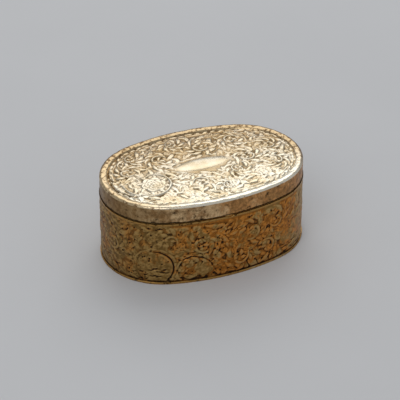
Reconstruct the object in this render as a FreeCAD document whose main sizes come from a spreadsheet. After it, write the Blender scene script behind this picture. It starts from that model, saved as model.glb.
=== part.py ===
# Oval gilt metal box with a hinged lid, built piece by piece in millimetres
import FreeCAD, Part
import math
import os
import Sketcher
from FreeCAD import Placement, Rotation, Vector

# Driving sizes in millimetres
SIZES = {
    "oval_length": 94.0,
    "oval_width": 62.0,
    "side_swell": 2.7,
    "seam_height": 32.0,
    "solder_gap": 0.02,
    "wall_thickness": 0.9,
    "foot_height": 1.1,
    "foot_reach": 0.6,
    "foot_ledge": 0.8,
    "base_thickness": 0.8,
    "rim_wire_height": 1.3,
    "rim_wire_reach": 0.3,
    "rim_wire_drop": 0.15,
    "rim_wire_bevel": 0.2,
    "bezel_thickness": 0.7,
    "bezel_depth": 7.5,
    "bezel_rise": 3.0,
    "bezel_chamfer": 0.3,
    "lid_clearance": 0.32,
    "lid_band_height": 7.3,
    "seam_round": 0.3,
    "border_width": 3.2,
    "border_edge": 0.3,
    "border_crest": 1.1,
    "border_crest_inset": 1.5,
    "border_inner_edge": 0.75,
    "border_roll": 0.22,
    "border_fall": 0.1,
    "panel_thickness": 0.7,
    "cushion_width": 15.5,
    "cushion_rise": 1.1,
    "cushion_bow": 0.27,
    "cartouche_length": 25.0,
    "cartouche_width": 9.6,
    "cartouche_swell": 1.4,
    "cartouche_rise": 0.6,
    "cartouche_round": 0.5,
    "relief_height": 0.5,
    "relief_root": 0.2,
    "relief_crest": 0.4,
    "chain_gap": 0.4,
    "chain_width": 1.6,
    "scroll_radius": 4.0,
    "scroll_ridge": 2.6,
    "scroll_eye": 2.2,
    "leaf_length": 10.4,
    "leaf_width": 5.2,
    "rose_stem_radius": 8.4,
    "rose_petal_length": 6.6,
    "rose_petal_width": 5.2,
    "rose_petal_place": 3.5,
    "hinge_length": 26.0,
    "hinge_depth": 0.82,
    "knuckle_radius": 1.3,
    "knuckle_gap": 0.1,
    "knuckle_clearance": 0.1,
    "pin_radius": 0.6,
    "pin_clearance": 0.03,
    "pin_chamfer": 0.15,
    "bearer_margin": 1.2,
    "bearer_reach": 3.0,
    "bearer_height": 4.0,
    "bearer_gap": 0.15,
    "bearer_side_gap": 0.4,
    "nick_length": 4.6,
    "nick_drop": 0.95,
    "nick_depth": 0.55,
}
KNUCKLES = 5
CUSHION_BANDS = 3
PETALS = 5
SCROLL_SWEEP = 270
SCROLL_STEP = 45
OUTSIDE = 5.0

# Raised forms of the lid, each by three numbers: the way the oval's edge beside it faces, in
# degrees from the right end, its inset from that edge, and the way it lies or starts, in degrees
ROSE = (226, 17.3, 150)
SCROLLS = (
    (14, 12.0, 180), (76, 14.5, 30), (87, 17.4, 60), (94, 10.7, 120), (103, 19.5, 20), (121, 10.1, 90),
    (158, 12.3, 30), (266, 16.6, 250), (273, 10.1, 60), (280, 19.7, 80), (325, 11.8, 210), (338, 25.1, 200),
)
LEAVES = (
    (47, 17.7, 30), (51, 10.0, 135), (78, 8.2, 0), (79, 22.7, 150), (83, 10.1, 150), (95, 20.9, 45),
    (102, 10.4, 165), (137, 20.7, 135), (185, 8.7, 105), (254, 8.2, 0), (260, 10.4, 165), (260, 20.8, 75),
    (266, 8.6, 0), (273, 20.2, 135), (279, 10.4, 135), (285, 11.3, 30), (292, 17.5, 45), (350, 7.9, 75),
)

doc = FreeCAD.newDocument("candy_box")
sheet = doc.addObject("Spreadsheet::Sheet", "sizes")
for row, (alias, value) in enumerate(SIZES.items(), 1):
    sheet.set(f"A{row}", alias)
    sheet.set(f"B{row}", str(value))
    sheet.setAlias(f"B{row}", alias)
doc.recompute()


# A length known both as a number and as the sheet expression that drives it
class Measure:
    def __init__(self, text, value):
        self.text = text
        self.value = value

    def __add__(self, other):
        other = measure(other)
        return Measure(f"({self.text} + {other.text})", self.value + other.value)

    def __sub__(self, other):
        other = measure(other)
        return Measure(f"({self.text} - {other.text})", self.value - other.value)

    def __mul__(self, other):
        other = measure(other)
        return Measure(f"({self.text} * {other.text})", self.value * other.value)

    def __truediv__(self, other):
        other = measure(other)
        return Measure(f"({self.text} / {other.text})", self.value / other.value)

    def __neg__(self):
        return Measure(f"(-1 * {self.text})", -self.value)


def measure(value):
    return value if isinstance(value, Measure) else Measure(str(value), float(value))


def size(alias):
    return Measure(f"sizes.{alias}", float(getattr(sheet, alias)))


# The oval of the box is four arcs: two round ends and two sides that swell beyond their radius
class Oval:
    def __init__(self, length, width, swell):
        self.half_length = length / 2
        self.half_width = width / 2
        self.end_radius = self.half_width - swell
        self.end_centre = self.half_length - self.end_radius
        self.side_centre = (self.end_centre * self.end_centre - swell * swell) / (swell * 2)
        self.span = swell + self.side_centre

    def arcs(self, offset):
        end = self.end_radius + offset
        side = end + self.span
        joint_x = self.end_centre + self.end_centre * end / self.span
        joint_y = self.side_centre * end / self.span
        return end, side, joint_x, joint_y

    # The place inward of the edge where the edge faces a way
    def beside(self, facing, inset):
        across = math.cos(math.radians(facing))
        up = math.sin(math.radians(facing))
        end, side, joint_x, joint_y = self.arcs(-measure(inset))
        if abs(up) * self.span.value < self.side_centre.value:
            return self.end_centre * math.copysign(1, across) + end * across, end * up
        return side * across, self.side_centre * math.copysign(1, -up) + side * up


box_oval = Oval(size("oval_length"), size("oval_width"), size("side_swell"))
half_length = box_oval.half_length
half_width = box_oval.half_width
wall = size("wall_thickness")
gap = size("solder_gap")
seam = size("seam_height")
foot_top = size("foot_height")
band_top = seam + size("lid_band_height")
hinge_half = size("hinge_length") / 2
bearer_half = hinge_half + size("bearer_margin")
pitch = size("hinge_length") / KNUCKLES
axis_y = half_width - size("hinge_depth")
own_seat = size("knuckle_radius") + gap
running_seat = size("knuckle_radius") + size("knuckle_clearance")
wall_inside = -wall
bezel_outside = wall_inside - gap
band_inside = bezel_outside + size("lid_clearance")


def new_body(label):
    body = doc.addObject("PartDesign::Body", label)
    body.Label = label
    return body


def new_sketch(body, role, lift=None):
    plane = next(item for item in body.Origin.OriginFeatures if item.Role == role)
    sketch = body.newObject("Sketcher::SketchObject", f"{body.Label}_sketch")
    sketch.AttachmentSupport = [(plane, "")]
    sketch.MapMode = "FlatFace"
    if lift is not None:
        sketch.AttachmentOffset = Placement(Vector(0, 0, lift.value), Rotation())
        sketch.setExpression("AttachmentOffset.Base.z", lift.text)
    return sketch


def dimension(sketch, length, kind, *where):
    index = sketch.addConstraint(Sketcher.Constraint(kind, *where, length.value))
    name = f"size_{index}"
    sketch.renameConstraint(index, name)
    sketch.setExpression(f"Constraints.{name}", length.text)


def place_point(sketch, geometry, end, across, up):
    for kind, length in (("DistanceX", across), ("DistanceY", up)):
        if length.value >= 0:
            dimension(sketch, length, kind, -1, 1, geometry, end)
        else:
            dimension(sketch, -length, kind, geometry, end, -1, 1)


def draw_circle(sketch, radius, across, up):
    centre = Vector(across.value, up.value, 0)
    circle = Part.Circle(centre, Vector(0, 0, 1), radius.value)
    index = sketch.addGeometry(circle, False)
    dimension(sketch, radius, "Radius", index)
    place_point(sketch, index, 3, across, up)


def draw_oval(sketch, oval, offset):
    end, side, joint_x, joint_y = oval.arcs(offset)
    turn = math.atan2(oval.side_centre.value, oval.end_centre.value)
    layout = (
        (oval.end_centre.value, 0, end.value, -turn, turn),
        (0, -oval.side_centre.value, side.value, turn, math.pi - turn),
        (-oval.end_centre.value, 0, end.value, math.pi - turn, math.pi + turn),
        (0, oval.side_centre.value, side.value, math.pi + turn, 2 * math.pi - turn),
    )
    first = sketch.GeometryCount
    for across, up, radius, start, stop in layout:
        circle = Part.Circle(Vector(across, up, 0), Vector(0, 0, 1), radius)
        sketch.addGeometry(Part.ArcOfCircle(circle, start, stop), False)
    right, back, left, front = range(first, first + 4)
    for arc, following in ((right, back), (back, left), (left, front), (front, right)):
        sketch.addConstraint(Sketcher.Constraint("Coincident", arc, 2, following, 1))
    sketch.addConstraint(Sketcher.Constraint("Symmetric", right, 1, right, 2, -1))
    sketch.addConstraint(Sketcher.Constraint("Symmetric", left, 1, left, 2, -1))
    sketch.addConstraint(Sketcher.Constraint("Symmetric", back, 1, back, 2, -2))
    sketch.addConstraint(Sketcher.Constraint("Equal", right, left))
    sketch.addConstraint(Sketcher.Constraint("Equal", back, front))
    dimension(sketch, end, "Radius", right)
    dimension(sketch, side, "Radius", back)
    dimension(sketch, joint_x, "DistanceX", -1, 1, right, 2)
    dimension(sketch, joint_y, "DistanceY", -1, 1, right, 2)


# A closed outline of corners; a corner with a bow starts an arc that swells outward by it
def draw_outline(sketch, corners):
    ends = []
    for corner, following in zip(corners, corners[1:] + corners[:1]):
        start = Vector(corner[0].value, corner[1].value, 0)
        stop = Vector(following[0].value, following[1].value, 0)
        if len(corner) == 2:
            ends.append((sketch.addGeometry(Part.LineSegment(start, stop), False), 1, 2))
            continue
        bow = corner[2]
        run = following[0] - corner[0]
        rise = following[1] - corner[1]
        reach = math.hypot(run.value, rise.value)
        outward = Vector(rise.value, -run.value, 0) / reach
        radius = ((run * run + rise * rise) / 4 + bow * bow) / (bow * 2)
        if bow.value < 0:
            radius = -radius
        side = 1 if bow.value > 0 else -1
        centre = (start + stop) / 2 + outward * (bow.value - side * radius.value)
        low, high = (start, stop) if side > 0 else (stop, start)
        angles = [math.atan2(point.y - centre.y, point.x - centre.x) for point in (low, high)]
        circle = Part.Circle(centre, Vector(0, 0, 1), radius.value)
        index = sketch.addGeometry(Part.ArcOfCircle(circle, *angles), False)
        dimension(sketch, radius, "Radius", index)
        ends.append((index, 1, 2) if side > 0 else (index, 2, 1))
    for current, following in zip(ends, ends[1:] + ends[:1]):
        sketch.addConstraint(
            Sketcher.Constraint("Coincident", current[0], current[2], following[0], following[1])
        )
    for corner, current in zip(corners, ends):
        place_point(sketch, current[0], current[1], corner[0], corner[1])


def extrude(kind, body, sketch, length, midplane=False):
    feature = body.newObject(f"PartDesign::{kind}", f"{body.Label}_{kind.lower()}")
    feature.Profile = sketch
    if midplane:
        feature.SideType = "Symmetric"
    feature.Length = length.value
    feature.setExpression("Length", length.text)
    doc.recompute()
    return feature


# A ring whose upright section, drawn at the right end of the box, follows the whole oval
def add_ring(body, corners):
    path = new_sketch(body, "XY_Plane")
    draw_oval(path, box_oval, measure(0))
    section = new_sketch(body, "XZ_Plane")
    draw_outline(section, [(half_length + corner[0], *corner[1:]) for corner in corners])
    doc.recompute()
    ring = body.newObject("PartDesign::AdditivePipe", f"{body.Label}_ring")
    ring.Profile = section
    ring.Spine = (path, [f"Edge{number}" for number in range(1, 5)])
    doc.recompute()


def new_ring(label, corners):
    body = new_body(label)
    add_ring(body, corners)
    return body


def cut_round(body, radius, centre_x, length):
    sketch = new_sketch(body, "YZ_Plane", centre_x)
    draw_circle(sketch, radius, axis_y, seam)
    extrude("Pocket", body, sketch, length, midplane=True)


def cut_back(body, half_gap):
    sketch = new_sketch(body, "XY_Plane", seam + OUTSIDE)
    front = half_width / 2
    back = half_width + OUTSIDE
    corners = [(-half_gap, front), (half_gap, front), (half_gap, back), (-half_gap, back)]
    draw_outline(sketch, corners)
    extrude("Pocket", body, sketch, seam)


# Both halves of the joint carry a round seat: close for their own knuckles, free for the others
def cut_hinge_seat(body, free_places):
    cut_round(body, own_seat, measure(0), size("hinge_length") + size("knuckle_gap"))
    for place in free_places:
        cut_round(body, running_seat, pitch * place, pitch)


def cut_nick(body):
    chord = size("nick_length")
    drop = size("nick_drop")
    radius = (chord * chord / 4 + drop * drop) / (drop * 2)
    sketch = new_sketch(body, "XZ_Plane", half_width + OUTSIDE)
    draw_circle(sketch, radius, measure(0), seam - drop + radius)
    extrude("Pocket", body, sketch, size("nick_depth") + OUTSIDE)


BODY_PLACES = (-2, 0, 2)
LID_PLACES = (-1, 1)

# Foot wire under the wall, with a ledge inside that carries the base plate
foot_outside = size("foot_reach") * 0.6
foot_bow = size("foot_reach") - foot_outside
foot_inside = wall_inside - size("foot_ledge")
foot_wire = new_ring("foot_wire", [
    (foot_inside, measure(0)),
    (foot_outside, measure(0), foot_bow),
    (foot_outside, foot_top),
    (foot_inside, foot_top),
])

# Upright wall of thin sheet, with the hinge seat behind and the nail nick in front
body_wall = new_ring("body_wall", [
    (wall_inside, foot_top),
    (measure(0), foot_top),
    (measure(0), seam),
    (wall_inside, seam),
])
cut_hinge_seat(body_wall, LID_PLACES)
cut_nick(body_wall)

# Base plate lying on the foot ledge inside the wall
base_plate = new_body("base_plate")
base_sketch = new_sketch(base_plate, "XY_Plane", foot_top)
draw_oval(base_sketch, box_oval, wall_inside - gap)
extrude("Pad", base_plate, base_sketch, size("base_thickness"))

# Bevelled wire round the top of the wall, open at the hinge
wire_top = seam - size("rim_wire_drop")
wire_foot = wire_top - size("rim_wire_height")
wire_face = gap + size("rim_wire_reach")
wire_bevel = size("rim_wire_bevel")
rim_wire = new_ring("rim_wire", [
    (gap, wire_foot),
    (wire_face - wire_bevel, wire_foot),
    (wire_face, wire_foot + wire_bevel),
    (wire_face, wire_top - wire_bevel),
    (wire_face - wire_bevel, wire_top),
    (gap, wire_top),
])
cut_back(rim_wire, hinge_half + size("bearer_side_gap"))
cut_nick(rim_wire)

# Inner collar that stands above the seam and guides the lid, open at the hinge
bezel_inside = bezel_outside - size("bezel_thickness")
bezel_top = seam + size("bezel_rise")
bezel = new_ring("bezel", [
    (bezel_inside, seam - size("bezel_depth")),
    (bezel_outside, seam - size("bezel_depth")),
    (bezel_outside, bezel_top - size("bezel_chamfer")),
    (bezel_outside - size("bezel_chamfer"), bezel_top),
    (bezel_inside, bezel_top),
])
cut_back(bezel, bearer_half + size("bearer_side_gap"))

# Plain band of the lid, its lower edge rounded so the seam reads as a groove
round_bow = size("seam_round") * (1 - math.sqrt(0.5))
lid_band = new_ring("lid_band", [
    (band_inside, seam),
    (-size("seam_round"), seam, round_bow),
    (measure(0), seam + size("seam_round")),
    (measure(0), band_top),
    (band_inside, band_top),
])
cut_hinge_seat(lid_band, BODY_PLACES)

# Rolled border round the top of the lid
lid_border = new_ring("lid_border", [
    (-size("border_width"), band_top),
    (measure(0), band_top),
    (measure(0), band_top + size("border_edge"), size("border_roll")),
    (-size("border_crest_inset"), band_top + size("border_crest"), size("border_fall")),
    (-size("border_width"), band_top + size("border_inner_edge")),
])

# Cushion-shaped lid sheet under the border: a ridge for the chain of buds, bands that flatten towards
# the middle, and a raised oval cartouche there
sheet_edge = band_inside - gap
cushion_start = -size("border_width")
cushion_end = cushion_start - size("cushion_width")
cushion_top = band_top + size("cushion_rise")
sheet_thickness = size("panel_thickness")


# Height of the cushion at an inset from the edge of the oval, and how steeply it falls outward there
def cushion_at(inset):
    share = (inset - size("border_width")) / size("cushion_width")
    if share.value > 1:
        return cushion_top, 0
    swell = size("cushion_bow") * 4
    height = band_top + size("cushion_rise") * share + swell * (share - share * share)
    fall = (size("cushion_rise") + swell - swell * share * 2) / size("cushion_width")
    return height, fall.value


cushion_edges = []
for band in range(CUSHION_BANDS + 1):
    inset = size("border_width") + size("cushion_width") * band / CUSHION_BANDS
    cushion_edges.append((-inset, cushion_at(inset)[0]))
chain_edges = []
for share, rise in ((0, 0), (0.5, 1), (1, 0)):
    inset = size("border_width") + size("chain_gap") + size("chain_width") * share
    chain_edges.append((-inset, cushion_at(inset)[0] + size("relief_height") * rise))
lid_panel = new_ring("lid_panel", [
    *[(offset, height - sheet_thickness) for offset, height in reversed(cushion_edges)],
    (sheet_edge, band_top - sheet_thickness),
    (sheet_edge, band_top),
    cushion_edges[0],
    *chain_edges,
    *cushion_edges[1:],
])
centre_sketch = new_sketch(lid_panel, "XY_Plane", cushion_top - sheet_thickness)
draw_oval(centre_sketch, box_oval, cushion_end)
extrude("Pad", lid_panel, centre_sketch, sheet_thickness)
cartouche_oval = Oval(
    size("cartouche_length"), size("cartouche_width"), size("cartouche_swell")
)
cartouche_sketch = new_sketch(lid_panel, "XY_Plane", cushion_top)
draw_oval(cartouche_sketch, cartouche_oval, measure(0))
cartouche = extrude("Pad", lid_panel, cartouche_sketch, size("cartouche_rise"))
cartouche_top = cartouche.Shape.BoundBox.ZMax
top_edges = [
    f"Edge{number}"
    for number, edge in enumerate(cartouche.Shape.Edges, 1)
    if edge.BoundBox.ZMin > cartouche_top - 0.01
]
cartouche_edge = lid_panel.newObject("PartDesign::Fillet", "cartouche_edge")
cartouche_edge.Base = (cartouche, top_edges)
cartouche_edge.Radius = size("cartouche_round").value
cartouche_edge.setExpression("Radius", size("cartouche_round").text)
doc.recompute()

# Main forms of the chased lid, raised together in a body of their own and then joined to the sheet
lid_relief = new_body("lid_relief")
lid_relief.AllowCompound = True
relief = size("relief_height") + size("relief_root")


# A form rooted in the cushion and square to it, with sides that slope over their reach to a crest
def raise_form(label, place, outline, reach):
    facing, inset, lie = place
    across, up = box_oval.beside(facing, measure(inset))
    height, fall = cushion_at(measure(inset))
    spot = across, up, height - size("relief_root")
    out = math.radians(facing)
    upright = Vector(fall * math.cos(out), fall * math.sin(out), 1)
    turned = Rotation(Vector(0, 0, 1), upright) * Rotation(Vector(0, 0, 1), lie)
    sketch = lid_relief.newObject("Sketcher::SketchObject", f"{label}_sketch")
    sketch.Placement = Placement(Vector(*[length.value for length in spot]), turned)
    for axis, length in zip("xyz", spot):
        sketch.setExpression(f"Placement.Base.{axis}", length.text)
    draw_outline(sketch, outline)
    form = lid_relief.newObject("PartDesign::Pad", label)
    form.Profile = sketch
    form.Refine = False
    form.Length = relief.value
    form.setExpression("Length", relief.text)
    slope = (reach - size("relief_crest") / 2) / relief
    form.TaperAngle = -math.degrees(math.atan(slope.value))
    form.setExpression("TaperAngle", f"-atan({slope.text})")


def corners_round(radius, angles):
    turns = [math.radians(angle) for angle in angles]
    return [(radius * math.cos(turn), radius * math.sin(turn)) for turn in turns]


# A ridge bent like the letter C
def raise_scroll(label, place, radius):
    half = size("scroll_ridge") / 2
    angles = range(0, SCROLL_SWEEP + 1, SCROLL_STEP)
    outline = corners_round(radius + half, angles) + corners_round(radius - half, reversed(angles))
    raise_form(label, place, outline, half)


# A lozenge, for a leaf or a petal
def raise_leaf(label, place, length, width, along=measure(0)):
    outline = [
        (along - length / 2, measure(0)),
        (along, -width / 2),
        (along + length / 2, measure(0)),
        (along, width / 2),
    ]
    edge = (length * length + width * width) / 4
    edge = Measure(f"sqrt({edge.text})", math.sqrt(edge.value))
    raise_form(label, place, outline, length * width / (edge * 4))


for number, place in enumerate(SCROLLS, 1):
    raise_scroll(f"scroll_{number}", place, size("scroll_radius"))
    eye = corners_round(size("scroll_eye"), range(0, 360, 60))
    raise_form(f"scroll_eye_{number}", place, eye, size("scroll_eye") * math.cos(math.pi / 6))
raise_scroll("rose_stem", ROSE, size("rose_stem_radius"))
petal_length = size("rose_petal_length")
petal_width = size("rose_petal_width")
for number in range(PETALS):
    place = (*ROSE[:2], ROSE[2] + 360 * number / PETALS)
    raise_leaf(f"petal_{number + 1}", place, petal_length, petal_width, size("rose_petal_place"))
for number, place in enumerate(LEAVES, 1):
    raise_leaf(f"leaf_{number}", place, size("leaf_length"), size("leaf_width"))
doc.recompute()
raised_forms = lid_panel.newObject("PartDesign::Boolean", "raised_forms")
raised_forms.Type = "Fuse"
raised_forms.setObjects([lid_relief])
doc.recompute()


# Straight bar behind the joint, curved outside to lie against the wall or the lid band
def new_bearer(label, outside, low, free_places):
    body = new_body(label)
    sketch = new_sketch(body, "XY_Plane", low)
    radius = box_oval.arcs(outside)[1]
    flat_y = half_width - size("bearer_reach")
    lean = math.acos(bearer_half.value / radius.value)
    centre = Vector(0, -box_oval.side_centre.value, 0)
    circle = Part.Circle(centre, Vector(0, 0, 1), radius.value)
    arc = sketch.addGeometry(Part.ArcOfCircle(circle, lean, math.pi - lean), False)
    end_y = centre.y + radius.value * math.sin(lean)
    points = (
        Vector(-bearer_half.value, end_y, 0),
        Vector(-bearer_half.value, flat_y.value, 0),
        Vector(bearer_half.value, flat_y.value, 0),
        Vector(bearer_half.value, end_y, 0),
    )
    left, flat, right = [
        sketch.addGeometry(Part.LineSegment(start, stop), False)
        for start, stop in zip(points, points[1:])
    ]
    for line, following in ((arc, left), (left, flat), (flat, right), (right, arc)):
        sketch.addConstraint(Sketcher.Constraint("Coincident", line, 2, following, 1))
    sketch.addConstraint(Sketcher.Constraint("Vertical", left))
    sketch.addConstraint(Sketcher.Constraint("Vertical", right))
    sketch.addConstraint(Sketcher.Constraint("PointOnObject", arc, 3, -2))
    dimension(sketch, radius, "Radius", arc)
    dimension(sketch, box_oval.side_centre, "DistanceY", arc, 3, -1, 1)
    place_point(sketch, flat, 1, -bearer_half, flat_y)
    place_point(sketch, flat, 2, bearer_half, flat_y)
    extrude("Pad", body, sketch, size("bearer_height"))
    cut_hinge_seat(body, free_places)
    return body


bar_gap = size("bearer_gap")
body_bearer_foot = seam - bar_gap - size("bearer_height")
new_bearer("body_hinge_bearer", wall_inside - gap, body_bearer_foot, LID_PLACES)
new_bearer("lid_hinge_bearer", band_inside - gap, seam + bar_gap, BODY_PLACES)


# One tube of the joint
def new_knuckle(label, place):
    body = new_body(label)
    sketch = new_sketch(body, "YZ_Plane", pitch * place)
    draw_circle(sketch, size("knuckle_radius"), axis_y, seam)
    draw_circle(sketch, size("pin_radius") + size("pin_clearance"), axis_y, seam)
    extrude("Pad", body, sketch, pitch - size("knuckle_gap"), midplane=True)


for side, place in zip(("left", "middle", "right"), BODY_PLACES):
    new_knuckle(f"body_knuckle_{side}", place)
for side, place in zip(("left", "right"), LID_PLACES):
    new_knuckle(f"lid_knuckle_{side}", place)

# Pin through all the tubes
hinge_pin = new_body("hinge_pin")
pin_sketch = new_sketch(hinge_pin, "YZ_Plane")
draw_circle(pin_sketch, size("pin_radius"), axis_y, seam)
pin_rod = extrude("Pad", hinge_pin, pin_sketch, size("hinge_length"), midplane=True)
pin_ends = [
    f"Edge{number}"
    for number, edge in enumerate(pin_rod.Shape.Edges, 1)
    if edge.BoundBox.XLength < 0.01
]
pin_edge = hinge_pin.newObject("PartDesign::Chamfer", "pin_edge")
pin_edge.Base = (pin_rod, pin_ends)
pin_edge.Size = size("pin_chamfer").value
pin_edge.setExpression("Size", size("pin_chamfer").text)
doc.recompute()

# Every object must be sound before its solid is written
for item in doc.Objects:
    if "Invalid" in item.State or "Error" in item.State:
        raise ValueError(f"{item.Label} is not sound: {item.State}")
os.makedirs("parts", exist_ok=True)
for body in doc.findObjects("PartDesign::Body"):
    if body == lid_relief:
        continue
    shape = body.Shape
    if shape.isNull() or not shape.isValid() or len(shape.Solids) != 1:
        raise ValueError(f"{body.Label} is not one valid solid")
    shape.exportStep(f"parts/{body.Label}.step")
    print(body.Label, round(shape.Volume, 2), shape.BoundBox)
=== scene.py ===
# %% [markdown]
# # An oval candy box of chased gilt metal
# The box has a straight oval wall and a hinged lid. Wall and lid are covered with leaves and scrolls
# that a chaser pushed up with punches, and the gilding is bright on top and brown in the hollows.
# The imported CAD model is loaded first, and nothing of it moves. The sizes below repeat its own.

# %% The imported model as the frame
import math

import bpy
import numpy as np
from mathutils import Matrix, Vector


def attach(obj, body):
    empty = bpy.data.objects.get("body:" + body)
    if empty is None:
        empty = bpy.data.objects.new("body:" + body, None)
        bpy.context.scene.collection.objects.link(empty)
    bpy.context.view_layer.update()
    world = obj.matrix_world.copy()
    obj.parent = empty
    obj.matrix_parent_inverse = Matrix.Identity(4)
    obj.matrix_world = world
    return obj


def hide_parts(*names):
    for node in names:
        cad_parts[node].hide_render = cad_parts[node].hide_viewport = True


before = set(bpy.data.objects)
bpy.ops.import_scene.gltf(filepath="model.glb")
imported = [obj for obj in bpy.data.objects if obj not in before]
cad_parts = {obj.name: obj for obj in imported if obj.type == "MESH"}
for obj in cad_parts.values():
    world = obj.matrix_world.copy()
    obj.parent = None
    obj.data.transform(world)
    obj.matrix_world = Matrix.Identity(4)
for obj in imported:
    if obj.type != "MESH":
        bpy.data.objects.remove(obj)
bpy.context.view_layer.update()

print("solids", sorted(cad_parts))

# %% [markdown]
# ## The oval
# The box is drawn with four arcs: two ends and two long sides that meet without a corner. Every ring
# of the box follows this line, so one function gives the place and the outward direction at any
# distance along it. Distances run from the middle of the back, over the left end, to the front.

# %% Four arcs
MM = 0.001
HALF_LENGTH, HALF_WIDTH, SIDE_SWELL = 47.0, 31.0, 2.7
END_RADIUS = HALF_WIDTH - SIDE_SWELL
END_CENTRE = HALF_LENGTH - END_RADIUS
SIDE_CENTRE = (END_CENTRE**2 - SIDE_SWELL**2) / (2 * SIDE_SWELL)
SIDE_RADIUS = SIDE_CENTRE + HALF_WIDTH
TURN = math.atan2(SIDE_CENTRE, END_CENTRE)
SIDE_HALF = (math.pi / 2 - TURN) * SIDE_RADIUS
END_ARC = 2 * TURN * END_RADIUS
GIRTH = 4 * SIDE_HALF + 2 * END_ARC
FRONT = GIRTH / 2


def station(along, offset=0.0):
    """x, y and the outward direction at a distance along the oval, or beside it by an offset"""
    along = np.asarray(along, float) % GIRTH
    half = along % (GIRTH / 2)
    flip = np.where(along >= GIRTH / 2, -1.0, 1.0)
    back, end = half < SIDE_HALF, (half >= SIDE_HALF) & (half < SIDE_HALF + END_ARC)
    angle = np.where(
        back,
        math.pi / 2 + half / SIDE_RADIUS,
        np.where(
            end,
            math.pi - TURN + (half - SIDE_HALF) / END_RADIUS,
            math.pi + TURN + (half - SIDE_HALF - END_ARC) / SIDE_RADIUS,
        ),
    )
    radius = np.where(end, END_RADIUS, SIDE_RADIUS) + offset
    out_x, out_y = np.cos(angle), np.sin(angle)
    x = np.where(end, -END_CENTRE, 0.0) + radius * out_x
    y = np.where(end, 0.0, np.where(back, -SIDE_CENTRE, SIDE_CENTRE)) + radius * out_y
    return flip * x, flip * y, flip * out_x, flip * out_y


def inset(x, y):
    """how far a point lies inside the oval"""
    x, y = np.abs(x), np.abs(y)
    by_end = y * END_CENTRE < (x - END_CENTRE) * SIDE_CENTRE
    end = np.hypot(x - END_CENTRE, y) - END_RADIUS
    side = np.hypot(x, y + SIDE_CENTRE) - SIDE_RADIUS
    return -np.where(by_end, end, side)


print(f"girth {GIRTH:.1f} mm")

# %% [markdown]
# ## A sheet to chase
# Relief like this is beaten into sheet, one punch after the other, and each blow partly covers the
# one before. Sculpting it by hand would be slow and hard to repeat. Here the sheet is a fine grid of
# heights, and a punch writes its own heights over what lies below and sinks a narrow line round
# itself. That line is what a chaser's liner leaves, and later the finishes darken it, as dirt and as
# painted shade.

# %% Heights of a sheet
class Sheet:
    """a piece of sheet metal as a grid of heights, all in millimetres"""

    def __init__(self, left, low, width, height, cell, wrap=False):
        self.left, self.low, self.cell, self.wrap = left, low, cell, wrap
        self.z = np.zeros((round(height / cell), round(width / cell)))

    def places(self):
        rows, columns = self.z.shape
        across = self.left + (np.arange(columns) + 0.5) * self.cell
        up = self.low + (np.arange(rows) + 0.5) * self.cell
        return np.meshgrid(across, up)

    def patch(self, x, y, reach):
        """the cells round a point, and their distances from it"""
        rows, columns = self.z.shape
        steps = np.arange(-int(reach / self.cell), int(reach / self.cell) + 1)
        across = int((x - self.left) / self.cell) + steps
        up = int((y - self.low) / self.cell) + steps
        up = up[(up >= 0) & (up < rows)]
        if not self.wrap:
            across = across[(across >= 0) & (across < columns)]
        dx = self.left + (across + 0.5) * self.cell - x
        dy = self.low + (up + 0.5) * self.cell - y
        return np.ix_(up, across % columns), dx[None, :], dy[:, None]

    def press(self, x, y, reach, punch, lip=0.3):
        """a raised form with a sunk line round it"""
        where, dx, dy = self.patch(x, y, reach)
        if dx.size and dy.size:
            edge, height = punch(dx, dy)
            line = np.clip(1 - edge / lip, 0, 1) ** 1.5
            sunk = self.z[where] * (1 - 0.9 * line) - 0.06 * line
            self.z[where] = np.where(edge < 0, height, sunk)

    def cut(self, x, y, reach, punch, depth):
        """a line cut into whatever is there"""
        where, dx, dy = self.patch(x, y, reach)
        if dx.size and dy.size:
            edge = punch(dx, dy)[0]
            self.z[where] -= depth * np.clip(-edge / 0.12, 0, 1)

    def softened(self, width):
        """the heights after rubbing: a blur of this width in millimetres"""
        steps = np.arange(-int(3 * width / self.cell), int(3 * width / self.cell) + 1)
        weights = np.exp(-0.5 * (steps * self.cell / width) ** 2)
        weights /= weights.sum()
        rows, columns = self.z.shape
        side = np.arange(columns)
        over = [(side + k) % columns if self.wrap else np.clip(side + k, 0, columns - 1) for k in steps]
        z = sum(w * self.z[:, place] for w, place in zip(weights, over))
        up = [np.clip(np.arange(rows) + k, 0, rows - 1) for k in steps]
        return sum(w * z[place, :] for w, place in zip(weights, up))

    def read(self, heights, x, y):
        """heights between the cells, for the points of a mesh"""
        rows, columns = heights.shape
        column = (np.asarray(x) - self.left) / self.cell - 0.5
        row = np.clip((np.asarray(y) - self.low) / self.cell - 0.5, 0, rows - 1.001)
        if not self.wrap:
            column = np.clip(column, 0, columns - 1.001)
        c, r = np.floor(column).astype(int), np.floor(row).astype(int)
        u, v = column - c, row - r
        c0, c1 = c % columns, (c + 1) % columns
        low = heights[r, c0] * (1 - u) + heights[r, c1] * u
        high = heights[r + 1, c0] * (1 - u) + heights[r + 1, c1] * u
        return low * (1 - v) + high * v


# %% [markdown]
# ## Punches
# Each punch is a small function of the distance from its middle. It answers two things: how far a
# place is from the form's edge, and how high the form is there. A leaf is bent round an arc and has
# a vein and lobes, a petal is a cup with a rolled rim, a strip is a ribbon along any line.

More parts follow.
